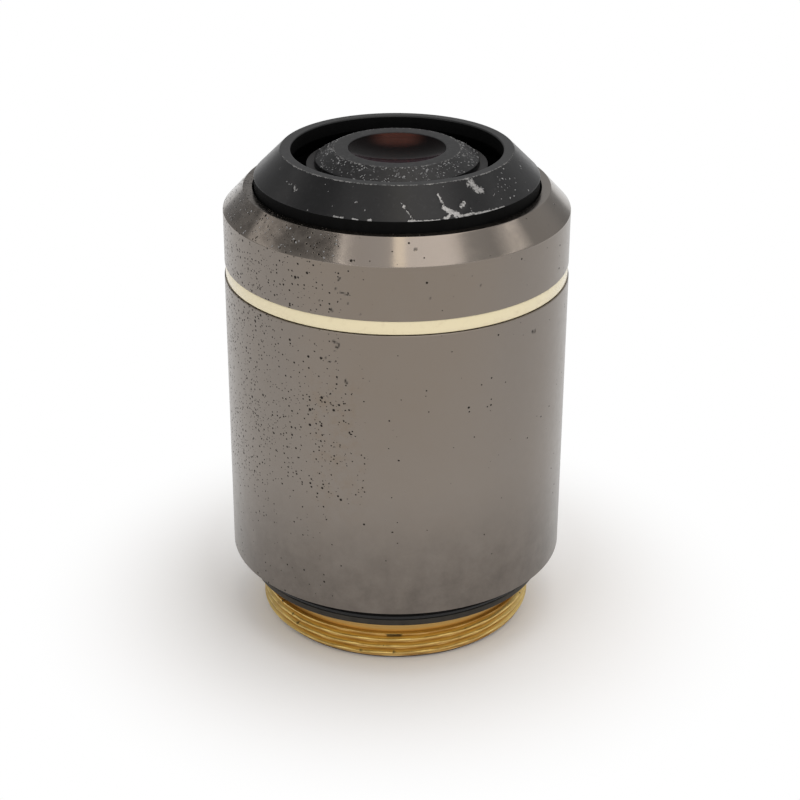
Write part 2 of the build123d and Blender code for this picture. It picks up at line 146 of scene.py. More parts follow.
def attribute(tree, name):
    """A value that the mesh carries at its points."""
    return add(tree, "ShaderNodeAttribute", attribute_name=name).outputs["Fac"]


def new_material(name, **inputs):
    """A material with one Principled shader, constants set on its own sockets."""
    material = bpy.data.materials.new(name)
    material.use_nodes = True
    tree = material.node_tree
    shader = tree.nodes["Principled BSDF"]
    for key, value in inputs.items():
        shader.inputs[key.replace("_", " ")].default_value = value
    return material, tree, shader


def wire(tree, shader, **outputs):
    """Links outputs to the shader's inputs, whose names have underscores for spaces here."""
    for key, output in outputs.items():
        tree.links.new(output, shader.inputs[key.replace("_", " ")])


def angle_round(tree, position):
    """Angle round the axis, in degrees from the camera side."""
    split = add(tree, "ShaderNodeSeparateXYZ", {0: position}).outputs
    back = calc(tree, "MULTIPLY", split[1], -1.0)
    return calc(tree, "DEGREES", calc(tree, "ARCTAN2", split[0], back))


def radius_and_height(tree, position):
    """Distance from the axis and height, both in mm."""
    split = add(tree, "ShaderNodeSeparateXYZ", {0: position}).outputs
    squares = calc(tree, "ADD", calc(tree, "POWER", split[0], 2.0), calc(tree, "POWER", split[1], 2.0))
    return calc(tree, "SQRT", squares), split[2]


def turning_marks(tree, radius, height, scale):
    """Fine rings left by the lathe, as a height that depends on the place along the profile only."""
    along = calc(tree, "ADD", height, calc(tree, "MULTIPLY", radius, 0.83))
    values = {"W": along, "Scale": scale, "Detail": 3.0, "Roughness": 0.7}
    return add(tree, "ShaderNodeTexNoise", values, noise_dimensions="1D").outputs[0]


def pits(tree, position, scale, size, density):
    """Round pits, one in some of the cells: density is the share of cells that have one."""
    cells = add(tree, "ShaderNodeTexVoronoi", {"Vector": position, "Scale": scale, "Randomness": 1.0})
    random_value = add(tree, "ShaderNodeSeparateColor", {0: cells.outputs["Color"]}).outputs
    radius = calc(tree, "MULTIPLY_ADD", calc(tree, "POWER", random_value[0], 2.0), size, size * 0.45)
    inside = calc(tree, "DIVIDE", cells.outputs["Distance"], radius)
    chosen = calc(tree, "LESS_THAN", random_value[1], density)
    return calc(tree, "MULTIPLY", smooth(tree, inside, 1.15, 0.7), chosen)


def patch(tree, angle, height, edges):
    """1 in a patch of the surface, with soft edges at its left, right, foot and top."""
    left, right, foot, top = edges
    across = calc(tree, "MULTIPLY", smooth(tree, angle, *left), smooth(tree, angle, *right))
    upwards = calc(tree, "MULTIPLY", smooth(tree, height, *foot), smooth(tree, height, *top))
    return calc(tree, "MULTIPLY", across, upwards)


def dimmed(colour, factor):
    """The colour made darker, still opaque."""
    return tuple(factor * channel for channel in colour[:3]) + (1,)


# Gunmetal: sound metal, its stains, pits and dirt, with painted shade on the shoulder and a darker tone
# low down
GUNMETAL = (0.238, 0.211, 0.187, 1)
GUNMETAL_STAIN = (0.225, 0.185, 0.148, 1)
PIT_COLOUR = (0.03, 0.026, 0.022, 1)
DARKENED_GUNMETAL = (0.10, 0.086, 0.075, 1)
# Share of pitted cells against the angle, from the far side round to the far side again
PIT_DENSITY = (
    (0.0, 0.05), (0.18, 0.15), (0.25, 0.8), (0.34, 0.75), (0.39, 0.42), (0.43, 0.26), (0.46, 0.10),
    (0.48, 0.025), (0.64, 0.015), (0.8, 0.04), (1.0, 0.05),
)
# Soft edges, each from and to: of angles in degrees for left and right, of heights in mm for the rest
PIT_CLUSTER = ((-34.0, -22.0), (-8.0, -15.0), (16.0, 20.0), (32.0, 28.0))
STAIN_PATCH = ((-34.0, -24.0), (-6.0, -16.0), (12.0, 22.0), (32.0, 27.0))
PITS_FADE_IN = (12.0, 22.0)
# Heights over which the gunmetal turns darker towards the bottom
LOWER_DARKENING_EDGE = (20.0, 7.0)
# Mottled dirt and painted shade on the left of the shoulder
DIRT_AND_SHADE_FOOT = (39.8, 40.4)
DIRT_AND_SHADE_RIGHT_EDGE = (-17.0, -24.0)
POLISHED_SHOULDER_FOOT = (39.7, 39.9)


def gunmetal_pits(tree, position, angle, height):
    """Pits all round in patches, most at the left, and one cluster left of the middle."""
    turn = calc(tree, "MULTIPLY_ADD", angle, 1 / 360, 0.5)
    density = ramp(tree, turn, PIT_DENSITY)
    patches = smooth(tree, speckle(tree, position, scale=0.22), 0.35, 0.62)
    density = calc(tree, "MULTIPLY", density, calc(tree, "MULTIPLY_ADD", patches, 0.8, 0.6))
    fading = calc(tree, "MULTIPLY_ADD", smooth(tree, height, *PITS_FADE_IN), 0.8, 0.2)
    density = calc(tree, "MULTIPLY", density, fading)
    lumps = smooth(tree, speckle(tree, position, scale=0.5), 0.42, 0.62)
    cluster = calc(tree, "MULTIPLY", patch(tree, angle, height, PIT_CLUSTER), lumps)
    density = calc(tree, "MULTIPLY_ADD", cluster, 0.75, density)
    coarse = pits(tree, position, scale=1.9, size=0.19, density=density)
    fine = pits(tree, position, scale=3.8, size=0.27, density=calc(tree, "MULTIPLY", density, 1.3))
    return calc(tree, "MAXIMUM", coarse, fine)


def gunmetal_tone(tree, position, angle, height):
    """Colour between the pits: mottled, with a stain, dirt and painted shade on the left of the shoulder,
    and darker towards the bottom.
    """
    mottle = speckle(tree, position, scale=0.35, detail=4.0, roughness=0.6)
    tone = blend_colour(tree, calc(tree, "MULTIPLY", mottle, 0.35), GUNMETAL, GUNMETAL_STAIN)

    cloud = smooth(tree, speckle(tree, position, scale=0.9, detail=5.0, roughness=0.65), 0.42, 0.7)
    stain = calc(tree, "MULTIPLY", patch(tree, angle, height, STAIN_PATCH), cloud)
    tone = blend_colour(tree, calc(tree, "MULTIPLY", stain, 0.7), tone, GUNMETAL_STAIN)

    # Dirt in clots, and painted shade, on the left of the shoulder
    shoulder = smooth(tree, height, *DIRT_AND_SHADE_FOOT)
    shoulder = calc(tree, "MULTIPLY", shoulder, smooth(tree, angle, *DIRT_AND_SHADE_RIGHT_EDGE))
    clots = smooth(tree, speckle(tree, position, scale=0.7, detail=5.0, roughness=0.7), 0.35, 0.6)
    dirt_and_shade = calc(tree, "MULTIPLY", shoulder, clots)
    tone = blend_colour(tree, calc(tree, "MULTIPLY", dirt_and_shade, 0.6), tone, DARKENED_GUNMETAL)

    # Darker towards the bottom, in smears
    smears = speckle(tree, position, scale=0.5, detail=5.0, roughness=0.7)
    lower_darkening = calc(tree, "MULTIPLY", smooth(tree, height, *LOWER_DARKENING_EDGE), 0.58)
    lower_darkening = calc(tree, "MULTIPLY", lower_darkening, calc(tree, "MULTIPLY_ADD", smears, 1.6, 0.2))
    return blend_colour(tree, lower_darkening, tone, DARKENED_GUNMETAL)


def make_gunmetal():
    """Brushed grey metal; the mesh attribute marks is 1 on the dark marks."""
    material, tree, shader = new_material(
        "gunmetal_dressed", Metallic=1.0, Anisotropic=0.85, Anisotropic_Rotation=0.25
    )
    position = place_mm(tree)
    angle = angle_round(tree, position)
    radius, height = radius_and_height(tree, position)
    pitted = gunmetal_pits(tree, position, angle, height)
    dark = calc(tree, "MAXIMUM", pitted, attribute(tree, "marks"))
    tone = gunmetal_tone(tree, position, angle, height)
    rough = calc(tree, "MULTIPLY_ADD", speckle(tree, position, scale=1.6, detail=4.0), 0.10, 0.25)
    polish = calc(tree, "MULTIPLY", smooth(tree, height, *POLISHED_SHOULDER_FOOT), -0.13)
    rough = calc(tree, "ADD", rough, polish)
    rings = turning_marks(tree, radius, height, scale=9.0)
    relief = calc(tree, "MULTIPLY_ADD", dark, -1.0, calc(tree, "MULTIPLY", rings, 0.06))
    wire(
        tree,
        shader,
        Base_Color=blend_colour(tree, dark, tone, PIT_COLOUR),
        Roughness=calc(tree, "MULTIPLY_ADD", dark, 0.3, rough, clamp=True),
        Normal=bump(tree, relief, depth_mm=0.03),
        Tangent=add(tree, "ShaderNodeTangent", direction_type="RADIAL", axis="Z").outputs[0],
    )
    return material


ENAMEL = (0.74, 0.65, 0.43, 1)
ENAMEL_GRIME = (0.52, 0.42, 0.26, 1)


def make_enamel():
    material, tree, shader = new_material("enamel_dressed", Coat_Weight=0.6, Coat_Roughness=0.12)
    position = place_mm(tree)
    grime = smooth(tree, speckle(tree, position, scale=1.3, detail=5.0, roughness=0.6), 0.5, 0.8)
    colour = blend_colour(tree, calc(tree, "MULTIPLY", grime, 0.35), ENAMEL, ENAMEL_GRIME)
    dots = pits(tree, position, scale=2.1, size=0.14, density=0.02)
    wire(
        tree,
        shader,
        Base_Color=blend_colour(tree, dots, colour, PIT_COLOUR),
        Roughness=calc(tree, "MULTIPLY_ADD", speckle(tree, position, scale=3.0), 0.15, 0.28),
        Normal=bump(tree, speckle(tree, position, scale=2.2, detail=3.0), depth_mm=0.008),
    )
    return material


ANODISED = (0.005, 0.005, 0.0055, 1)
ANODISED_DUST = (0.11, 0.11, 0.115, 1)
BARE_ALUMINIUM = (0.52, 0.51, 0.5, 1)
WORN_ALUMINIUM = (0.12, 0.12, 0.12, 1)


def make_anodised(name, roughness, dust=0.0):
    """Black anodised metal; the mesh attribute chips is 1 where bare metal shows, and on the bezel's rim
    also where a painted highlight lies.
    """
    material, tree, shader = new_material(name, Specular_IOR_Level=0.30)
    position = place_mm(tree)
    radius, height = radius_and_height(tree, position)

    ragged = speckle(tree, position, scale=4.5, detail=5.0, roughness=0.75)
    ragged = calc(tree, "MULTIPLY_ADD", ragged, 2.6, -1.3)
    chips = smooth(tree, calc(tree, "ADD", attribute(tree, "chips"), ragged), 0.55, 0.75)
    worn = speckle(tree, position, scale=6.0, detail=3.0)
    bare = blend_colour(tree, worn, WORN_ALUMINIUM, BARE_ALUMINIUM)

    grey = smooth(tree, speckle(tree, position, scale=2.4, detail=6.0, roughness=0.7), 0.5, 0.85)
    colour = blend_colour(tree, calc(tree, "MULTIPLY", grey, dust), ANODISED, ANODISED_DUST)
    tone = speckle(tree, position, scale=2.0, detail=4.0)
    rough = calc(tree, "MULTIPLY_ADD", tone, 0.12, roughness - 0.06)

    rings = turning_marks(tree, radius, height, scale=8.0)
    relief = calc(tree, "MULTIPLY_ADD", chips, -1.0, calc(tree, "MULTIPLY", rings, 0.08))
    relief = calc(tree, "MULTIPLY_ADD", speckle(tree, position, scale=9.0), 0.2, relief)
    wire(
        tree,
        shader,
        Base_Color=blend_colour(tree, chips, colour, bare),
        Metallic=calc(tree, "MULTIPLY", chips, 0.85),
        Roughness=blend_value(tree, chips, rough, 0.42),
        Normal=bump(tree, relief, depth_mm=0.02),
    )
    return material


# Darkest and lightest tone of the plain mottled materials
# Black as near lightless as painted shade, for the bezel's recesses
RECESS_SHADE_BLACK = ((0.001, 0.001, 0.001, 1), (0.004, 0.004, 0.004, 1))
BLACK_BRASS = ((0.008, 0.008, 0.009, 1), (0.022, 0.02, 0.02, 1))
SATIN_BLACK = ((0.02, 0.018, 0.015, 1), (0.06, 0.052, 0.042, 1))
SCREW_STEEL = ((0.32, 0.32, 0.33, 1), (0.5, 0.5, 0.51, 1))
LINT = ((0.12, 0.12, 0.125, 1), (0.42, 0.42, 0.42, 1))


def make_black_and_recess_shade():
    """Matt black that hardly reflects, painted shade in the neck and the bores, where hardly any light
    comes back.
    """
    material, tree, shader = new_material("recess_shade_black_dressed", Specular_IOR_Level=0.06)
    tone = speckle(tree, place_mm(tree), scale=2.0, detail=4.0)
    rough = calc(tree, "MULTIPLY_ADD", tone, 0.2, 0.6)
    wire(tree, shader, Base_Color=blend_colour(tree, tone, *RECESS_SHADE_BLACK), Roughness=rough)
    return material


def make_black_brass():
    material, tree, shader = new_material("black_brass_dressed", Metallic=0.3)
    position = place_mm(tree)
    tone = speckle(tree, position, scale=1.5, detail=4.0)
    rings = turning_marks(tree, *radius_and_height(tree, position), scale=10.0)
    wire(
        tree,
        shader,
        Base_Color=blend_colour(tree, tone, *BLACK_BRASS),
        Roughness=calc(tree, "MULTIPLY_ADD", tone, 0.15, 0.42),
        Normal=bump(tree, rings, depth_mm=0.004),
    )
    return material


def make_satin_ring():
    material, tree, shader = new_material("satin_ring_dressed", Metallic=0.8)
    position = place_mm(tree)
    tone = speckle(tree, position, scale=1.2, detail=5.0, roughness=0.6)
    wire(
        tree,
        shader,
        Base_Color=blend_colour(tree, tone, *SATIN_BLACK),
        Roughness=calc(tree, "MULTIPLY_ADD", tone, 0.2, 0.38),
        Normal=bump(tree, speckle(tree, position, scale=8.0, detail=3.0), depth_mm=0.006),
    )
    return material


def make_steel():
    material, tree, shader = new_material("screw_steel_dressed", Metallic=1.0)
    tone = speckle(tree, place_mm(tree), scale=3.0, detail=4.0)
    rough = calc(tree, "MULTIPLY_ADD", tone, 0.2, 0.25)
    wire(tree, shader, Base_Color=blend_colour(tree, tone, *SCREW_STEEL), Roughness=rough)
    return material


def make_lint():
    material, tree, shader = new_material("lint_dressed")
    tone = speckle(tree, place_mm(tree), scale=5.0, detail=3.0)
    rough = calc(tree, "MULTIPLY_ADD", tone, 0.2, 0.6)
    wire(tree, shader, Base_Color=blend_colour(tree, tone, *LINT), Roughness=rough)
    return material


BRASS = (0.78, 0.57, 0.20, 1)
BRASS_DULL = (0.42, 0.24, 0.08, 1)
BRASS_SPOT_AND_SHADOW = (0.05, 0.03, 0.015, 1)
# Radii in mm where the painted shade in the grooves of the thread and its undercut starts and is full
BRASS_GROOVE_SHADE = (12.72, 12.35)


def make_brass():
    """Tarnished brass with painted shade in its grooves; the mesh attribute marks is 1 on the dark marks
    and on the painted contact shadow at the foot.
    """
    material, tree, shader = new_material("brass_dressed", Metallic=1.0)
    position = place_mm(tree)
    radius, height = radius_and_height(tree, position)
    tarnish = smooth(tree, speckle(tree, position, scale=0.8, detail=6.0, roughness=0.65), 0.4, 0.75)
    # Painted shade in the thread's grooves and undercut
    groove = calc(tree, "MULTIPLY", smooth(tree, radius, *BRASS_GROOVE_SHADE), 0.8)
    tarnish_and_shade = calc(tree, "MAXIMUM", calc(tree, "MULTIPLY", tarnish, 0.55), groove)
    colour = blend_colour(tree, tarnish_and_shade, BRASS, BRASS_DULL)
    spots = pits(tree, position, scale=1.5, size=0.13, density=0.05)
    dark = calc(tree, "MAXIMUM", spots, attribute(tree, "marks"))
    rough = calc(tree, "MULTIPLY_ADD", speckle(tree, position, scale=2.5, detail=4.0), 0.16, 0.24)
    rings = turning_marks(tree, radius, height, scale=14.0)
    relief = calc(tree, "MULTIPLY_ADD", dark, -1.0, calc(tree, "MULTIPLY", rings, 0.3))
    wire(
        tree,
        shader,
        Base_Color=blend_colour(tree, dark, colour, BRASS_SPOT_AND_SHADOW),
        Roughness=calc(tree, "MULTIPLY_ADD", dark, 0.3, rough, clamp=True),
        Normal=bump(tree, relief, depth_mm=0.01),
    )
    return material


# Glass: tint and index of the two kinds inside, and their low reflection, as they are coated
CROWN_TINT = (0.9, 0.95, 0.93, 1)
CROWN_INDEX = 1.52
FLINT_TINT = (0.95, 0.93, 0.86, 1)
FLINT_INDEX = 1.62
INNER_REFLECTION = 0.12


def make_glass(name, colour, index):
    material, tree, shader = new_material(
        name, Transmission_Weight=1.0, IOR=index, Specular_IOR_Level=INNER_REFLECTION
    )
    position = place_mm(tree)
    haze = smooth(tree, speckle(tree, position, scale=1.1, detail=5.0, roughness=0.6), 0.55, 0.9)
    tint = blend_colour(tree, calc(tree, "MULTIPLY", haze, 0.2), colour, dimmed(colour, 0.8))
    wire(tree, shader, Base_Color=tint, Roughness=calc(tree, "MULTIPLY_ADD", haze, 0.03, 0.005))
    return material


# An index near 1 stands for the coating, which hardly reflects
COATED_INDEX = 1.06
COATING_BLACK = (0.03, 0.02, 0.02, 1)
# Painted reflections of the coating: red brown behind, purple in front
PAINTED_RED_REFLECTION = (0.42, 0.17, 0.13, 1)
PAINTED_PURPLE_REFLECTION = (0.28, 0.13, 0.19, 1)
# Soft edges on the lens in mm of its painted reflections: how far from the middle to both sides, behind it
# and in front of it
RED_REFLECTION_SIDES = (2.9, 0.8)
RED_REFLECTION_BEHIND = (1.5, 3.2)
PURPLE_REFLECTION_IN_FRONT = (-0.6, -3.4)


def make_front_glass():
    """Dark coated glass with painted reflections: a red brown glow at the far side and a purple one at the
    near side.
    """
    material, tree, shader = new_material("front_glass_dressed", Transmission_Weight=0.9, IOR=COATED_INDEX)
    position = place_mm(tree)
    split = add(tree, "ShaderNodeSeparateXYZ", {0: position}).outputs
    cloud = speckle(tree, position, scale=0.6, detail=3.0)
    # Painted reflection: red brown at the far side, purple at the near side
    middle = smooth(tree, calc(tree, "ABSOLUTE", split[0]), *RED_REFLECTION_SIDES)
    far = calc(tree, "MULTIPLY", smooth(tree, split[1], *RED_REFLECTION_BEHIND), middle)
    uneven = calc(tree, "MULTIPLY_ADD", cloud, 0.6, 0.6)
    near = calc(tree, "MULTIPLY", smooth(tree, split[1], *PURPLE_REFLECTION_IN_FRONT), uneven)
    colour = blend_colour(tree, far, COATING_BLACK, PAINTED_RED_REFLECTION)
    colour = blend_colour(tree, near, colour, PAINTED_PURPLE_REFLECTION)
    wire(tree, shader, Base_Color=colour, Roughness=calc(tree, "MULTIPLY_ADD", cloud, 0.03, 0.01))
    return material


# Meshes of turned pieces
ROUNDING_STEPS = 4
COARSE_TURN = 360
THREAD_TURN = 540
FINE_TURN = 720
SHARP_CORNER = math.radians(38)


def rounded(points):
    """A closed half section; a third number on a corner is the radius that it is rounded to."""
    out = []
    count = len(points)
    for index, point in enumerate(points):
        corner = Vector(point[:2])
        if len(point) == 2:
            out.append(tuple(corner))
            continue
        before = Vector(points[index - 1][:2]) - corner
        after = Vector(points[(index + 1) % count][:2]) - corner
        before.normalize()
        after.normalize()
        half = before.angle(after) / 2
        trim = point[2] / math.tan(half)
        centre = corner + (before + after).normalized() * (point[2] / math.sin(half))
        start = corner + before * trim - centre
        sweep = start.angle_signed(corner + after * trim - centre)
        for step in range(ROUNDING_STEPS + 1):
            spun = Matrix.Rotation(-sweep * step / ROUNDING_STEPS, 2) @ start
            out.append(tuple(centre + spun))
    return out


def divided(profile, longest, where):
    """The profile with extra points on the stretches whose middle (radius, height) passes the test."""
    out = []
    for start, end in zip(profile, profile[1:] + profile[:1]):
        length = math.dist(start, end)
        middle = ((start[0] + end[0]) / 2, (start[1] + end[1]) / 2)
        count = max(1, math.ceil(length / longest)) if where(*middle) else 1
        for step in range(count):
            share = step / count
            out.append(tuple(a + (b - a) * share for a, b in zip(start, end)))
    return out


def turn_outwards(mesh):
    """Flips the faces of a closed mesh if they face inwards."""
    volume = 0.0
    for polygon in mesh.polygons:
        volume += polygon.center.dot(polygon.normal) * polygon.area
    if volume < 0:
        mesh.flip_normals()


def new_piece(name, mesh, material):
    """An object in the scene that moves with the body."""
    piece = bpy.data.objects.new(name, mesh)
    bpy.context.scene.collection.objects.link(piece)
    mesh.materials.append(material)
    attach(piece, "root")
    return piece


def turned(
    name, profile, material, replaced,
    segments=COARSE_TURN, reshape=None, marks=None, inner=None,
):
    """Spins a closed half section into a piece that replaces CAD nodes.

    reshape(angle, radius, height) gives each point its final radius. marks is the name of a mesh
    attribute and a function of angle, radius and height that gives its value and a dent in mm.
    inner is a second material and a function of radius and height that tells where it goes.
    """
    section = np.array(profile)
    turn = np.arange(segments) * 2 * math.pi / segments
    angle, radius = np.meshgrid(turn, section[:, 0], indexing="ij")
    height = np.meshgrid(turn, section[:, 1], indexing="ij")[1]
    degrees = (np.degrees(angle) + 180) % 360 - 180
    if reshape:
        radius = reshape(degrees, radius, height)
    value = None
    if marks:
        value, dent = marks[1](degrees, radius, height)
        radius = radius - dent
    corners = np.stack([radius * np.sin(angle), -radius * np.cos(angle), height], axis=-1) * MM
    count = len(profile)
    quads = []
    for i in range(segments):
        a, b = i * count, (i + 1) % segments * count
        quads += [(a + j, b + j, b + (j + 1) % count, a + (j + 1) % count) for j in range(count)]
    mesh = bpy.data.meshes.new(name)
    mesh.from_pydata(corners.reshape(-1, 3).tolist(), [], quads)
    mesh.validate()
    mesh.shade_smooth()
    mesh.set_sharp_from_angle(angle=SHARP_CORNER)
    if marks:
        mesh.attributes.new(marks[0], "FLOAT", "POINT").data.foreach_set("value", value.ravel())
    turn_outwards(mesh)
    piece = new_piece(name, mesh, material)
    if inner:
        mesh.materials.append(inner[0])
        middle = (section + np.roll(section, -1, axis=0)) / 2
        flags = inner[1](middle[:, 0], middle[:, 1]).astype(int)
        mesh.polygons.foreach_set("material_index", np.tile(flags, segments))
    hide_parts(*replaced)


def near_line(degrees, radius, height, line):
    """Distance in mm from each point to a broken line of (angle, height) points on the surface."""
    across = np.radians(degrees) * radius
    best = np.full(degrees.shape, np.inf)
    for (a0, z0), (a1, z1) in zip(line, line[1:] or line):
        start = np.stack([np.radians(a0) * radius, np.full(radius.shape, z0)])
        end = np.stack([np.radians(a1) * radius, np.full(radius.shape, z1)])
        here = np.stack([across, height])
        span = end - start
        share = np.clip(((here - start) * span).sum(0) / np.maximum((span**2).sum(0), 1e-9), 0, 1)
        best = np.minimum(best, np.sqrt(((here - start - share * span) ** 2).sum(0)))
    return best


def stroke_mask(degrees, radius, height, strokes):
    """1 within half the half width of a stroke, 0 from twice the half width on."""
    mask = np.zeros(degrees.shape)
    for half_width, line in strokes:
        distance = near_line(degrees, radius, height, line)
        mask = np.maximum(mask, np.clip(1.35 - distance / half_width * 0.7, 0, 1))
    return mask


# Heights and radii in mm that pieces share, as the CAD has them
SEAT_FACE = 4.50
SEAT_TOP = 5.10
BARREL_FOOT = 6.70
COLLAR_TOP = 8.20
SLEEVE_JOINT = 33.7026
BAND_TOP = 34.9826
TUBE_TOP = 38.0526
NOSE_TOP = 45.1026
SEAT_BORE = 13.10
TUBE_RADIUS = 13.90
SLEEVE_BORE = 13.95
BARREL_RADIUS = 15.50

# Thread: 36 turns to the inch on 26 mm, crests and roots slightly flattened
THREAD_PITCH = 0.706
THREAD_DEPTH = 0.36
THREAD_LENGTH = 3.4
THREAD_RADIUS = 13.0
THREAD_PHASE = 0.12
THREAD_LEAD_IN = 0.7
THREAD_STEPS = 100
CREST_SHARE = 0.2
FLANK_SHARE = 0.3
# The photo's thread is narrower and shorter than the CAD's: its crests lie further in, and an
# undercut, this much deeper than the crests, begins at this height
CREST_INSET = 0.26
UNDERCUT_DEPTH = 0.38
UNDERCUT_FOOT = 2.95
# Painted contact shadow: the lowest turn is dark up to this height, softly over this much more
CONTACT_SHADOW_TOP = 0.18
CONTACT_SHADOW_EDGE = 0.12


def thread_shape(degrees, radius, height):
    outer = abs(radius - THREAD_RADIUS) < 0.01
    phase = (height / THREAD_PITCH - degrees / 360 - THREAD_LENGTH / THREAD_PITCH + THREAD_PHASE) % 1.0
    from_crest = np.abs(phase - 0.5) * 2
    depth = np.clip((from_crest - CREST_SHARE) / (2 * FLANK_SHARE), 0, 1) * THREAD_DEPTH
    depth = np.where(height > UNDERCUT_FOOT, UNDERCUT_DEPTH, depth)
    lead = np.maximum(THREAD_LEAD_IN - height, 0)
    return np.where(outer, radius - CREST_INSET - np.maximum(depth, lead), radius)


# Dark marks and dents: half width in mm, then (angle, height) points
THREAD_MARKS = (
    (0.10, ((-3.3, 2.62), (2.3, 2.63))),
    (0.10, ((-56.6, 2.86),)),
    (0.08, ((-54.3, 2.58),)),
    (0.09, ((-46.2, 1.6),)),
    (0.07, ((-49.3, 2.26),)),
    (0.08, ((-14.4, 0.86),)),
    (0.08, ((-0.5, 0.92),)),
)
SLEEVE_MARKS = (
    (0.05, ((-17.6, 38.6), (-17.9, 38.35))),
    (0.07, ((-18.9, 37.6),)),
    (0.04, ((-17.6, 37.35), (-16.2, 37.24), (-14.8, 37.18))),
    (0.06, ((-14.9, 36.4),)),
    (0.05, ((-11.2, 35.55),)),
    (0.07, ((6.2, 40.95),)),
    (0.05, ((10.5, 37.0),)),
    (0.05, ((27.0, 37.6),)),
    (0.06, ((-20.6, 35.7), (-20.2, 35.55))),
    (0.05, ((-24.6, 36.3),)),
)
BARREL_MARKS = (
    (0.07, ((-19.8, 32.85), (-19.3, 32.75))),
    (0.06, ((-18.3, 32.72), (-17.9, 32.5))),
    (0.07, ((-18.9, 32.35), (-18.4, 32.3))),
    (0.05, ((-19.3, 31.95),)),
    (0.07, ((49.0, 31.95), (49.4, 31.8))),
    (0.05, ((50.3, 31.95), (50.5, 31.7))),
    (0.06, ((-22.6, 31.2),)),
    (0.07, ((-21.2, 30.9),)),
    (0.06, ((-16.0, 29.4), (-15.6, 29.1))),
)
MARK_DEPTH = 0.02
# All marks on the barrel lie above this height, so its mesh is finer there
MARKS_FOOT = 28.5
# Chips in the black bezel down to bare metal, written in the same way
BEZEL_CHIPS = (
    (0.30, ((36.0, 44.75), (37.0, 44.35))),
    (0.20, ((37.6, 44.25), (39.5, 44.15))),
    (0.12, ((33.6, 44.68),)),
    (0.13, ((28.6, 43.62), (26.6, 43.42))),
    (0.10, ((18.2, 44.35), (19.2, 43.8))),
    (0.17, ((19.0, 43.55), (20.6, 43.3), (22.4, 43.1), (24.4, 42.95))),
    (0.12, ((20.9, 42.98), (19.8, 42.84), (18.6, 42.8))),
    (0.12, ((22.6, 42.95), (25.0, 42.72))),
    (0.13, ((3.0, 43.75),)),
    (0.05, ((3.4, 43.6), (5.0, 43.2), (6.2, 42.9))),
    (0.08, ((4.5, 42.78), (9.0, 42.74), (16.4, 42.72))),
    (0.09, ((23.0, 42.8), (29.0, 42.84), (34.0, 42.8))),
    (0.07, ((34.0, 42.78), (40.0, 42.76), (46.0, 42.74))),
    (0.06, ((-24.5, 42.78), (-20.5, 42.77))),
    (0.06, ((-16.8, 42.77), (-14.8, 42.77))),
    (0.08, ((-11.0, 42.78), (-9.6, 42.77))),
    (0.07, ((-49.6, 44.05), (-47.8, 43.72))),
    (0.07, ((-46.9, 43.85),)),
    (0.07, ((-36.4, 42.85),)),
    (0.06, ((-16.6, 43.9),)),
    (0.06, ((48.9, 44.03),)),
    (0.06, ((52.6, 44.38),)),
    (0.05, ((56.0, 43.8),)),
    (0.05, ((51.6, 43.7),)),
    (0.05, ((63.0, 44.05),)),
    (0.05, ((70.4, 44.1),)),
    (0.05, ((44.0, 43.6),)),
    (0.06, ((30.5, 43.2),)),
)
CHIP_DEPTH = 0.035


def thread_marks_and_contact_shadow(degrees, radius, height):
    mask = stroke_mask(degrees, radius, height, THREAD_MARKS)
    # Painted contact shadow along the foot of the thread
    foot = np.clip((CONTACT_SHADOW_TOP + CONTACT_SHADOW_EDGE - height) / CONTACT_SHADOW_EDGE, 0, 1) * 0.9
    return np.maximum(mask, foot), np.zeros(degrees.shape)


def sleeve_marks(degrees, radius, height):
    mask = stroke_mask(degrees, radius, height, SLEEVE_MARKS)
    return mask, mask * MARK_DEPTH


def barrel_marks(degrees, radius, height):
    mask = stroke_mask(degrees, radius, height, BARREL_MARKS)
    return mask, mask * MARK_DEPTH


def make_barrel_sleeve(gunmetal):
    collar_bore = 14.25
    outline = rounded([
        (collar_bore, BARREL_FOOT, 0.03), (BARREL_RADIUS, BARREL_FOOT, 0.05),
        (BARREL_RADIUS, MARKS_FOOT), (BARREL_RADIUS, SLEEVE_JOINT, 0.06),
        (SLEEVE_BORE, SLEEVE_JOINT), (SLEEVE_BORE, COLLAR_TOP), (collar_bore, COLLAR_TOP),
    ])
    outline = divided(outline, 0.12, lambda r, z: r > 15.3 and z > MARKS_FOOT)
    turned(
        "barrel_sleeve", outline, gunmetal, ["main_sleeve"], FINE_TURN,
        marks=("marks", barrel_marks),
    )


def make_shoulder_sleeve(gunmetal):
    radius = 15.46
    band_seat = 14.63
    shoulder_foot = 39.8126
    top_radius = 13.62
    top = 41.7826
    neck_bore = 12.8
    bore_step = 38.1026
    outline = rounded([
        (SLEEVE_BORE, SLEEVE_JOINT), (band_seat, SLEEVE_JOINT), (band_seat, BAND_TOP),
        (radius, BAND_TOP, 0.05), (radius, shoulder_foot, 0.06), (top_radius, top, 0.06),
        (neck_bore, top, 0.04), (neck_bore, bore_step), (SLEEVE_BORE, bore_step),
    ])
    outline = divided(outline, 0.12, lambda r, z: r > 13.5 and z > 35.1)
    turned(
        "shoulder_sleeve", outline, gunmetal, ["front_sleeve"], FINE_TURN,
        marks=("marks", sleeve_marks),
    )


def make_enamel_band():
    bore = 14.65
    radius = 15.40
    foot = 33.7526
    outline = rounded([
        (bore, foot), (radius, foot, 0.10), (radius, BAND_TOP, 0.10), (bore, BAND_TOP),
    ])
    turned("enamel_band", outline, make_enamel(), ["colour_band"], FINE_TURN)


# Bezel: on its outer cone radius and height add up to 55.4 mm, and inside it to less, so that their
# sum tells which faces take the black with painted shade and which have the fine mesh that chips need
RIM_RADIUS = 10.3
RIM_FOOT = 44.99
NECK_TOP = 42.7
SHADE_BELOW_SUM = 55.0
FINE_ABOVE_SUM = 54.9
CHIPS_FROM_RADIUS = 9.8


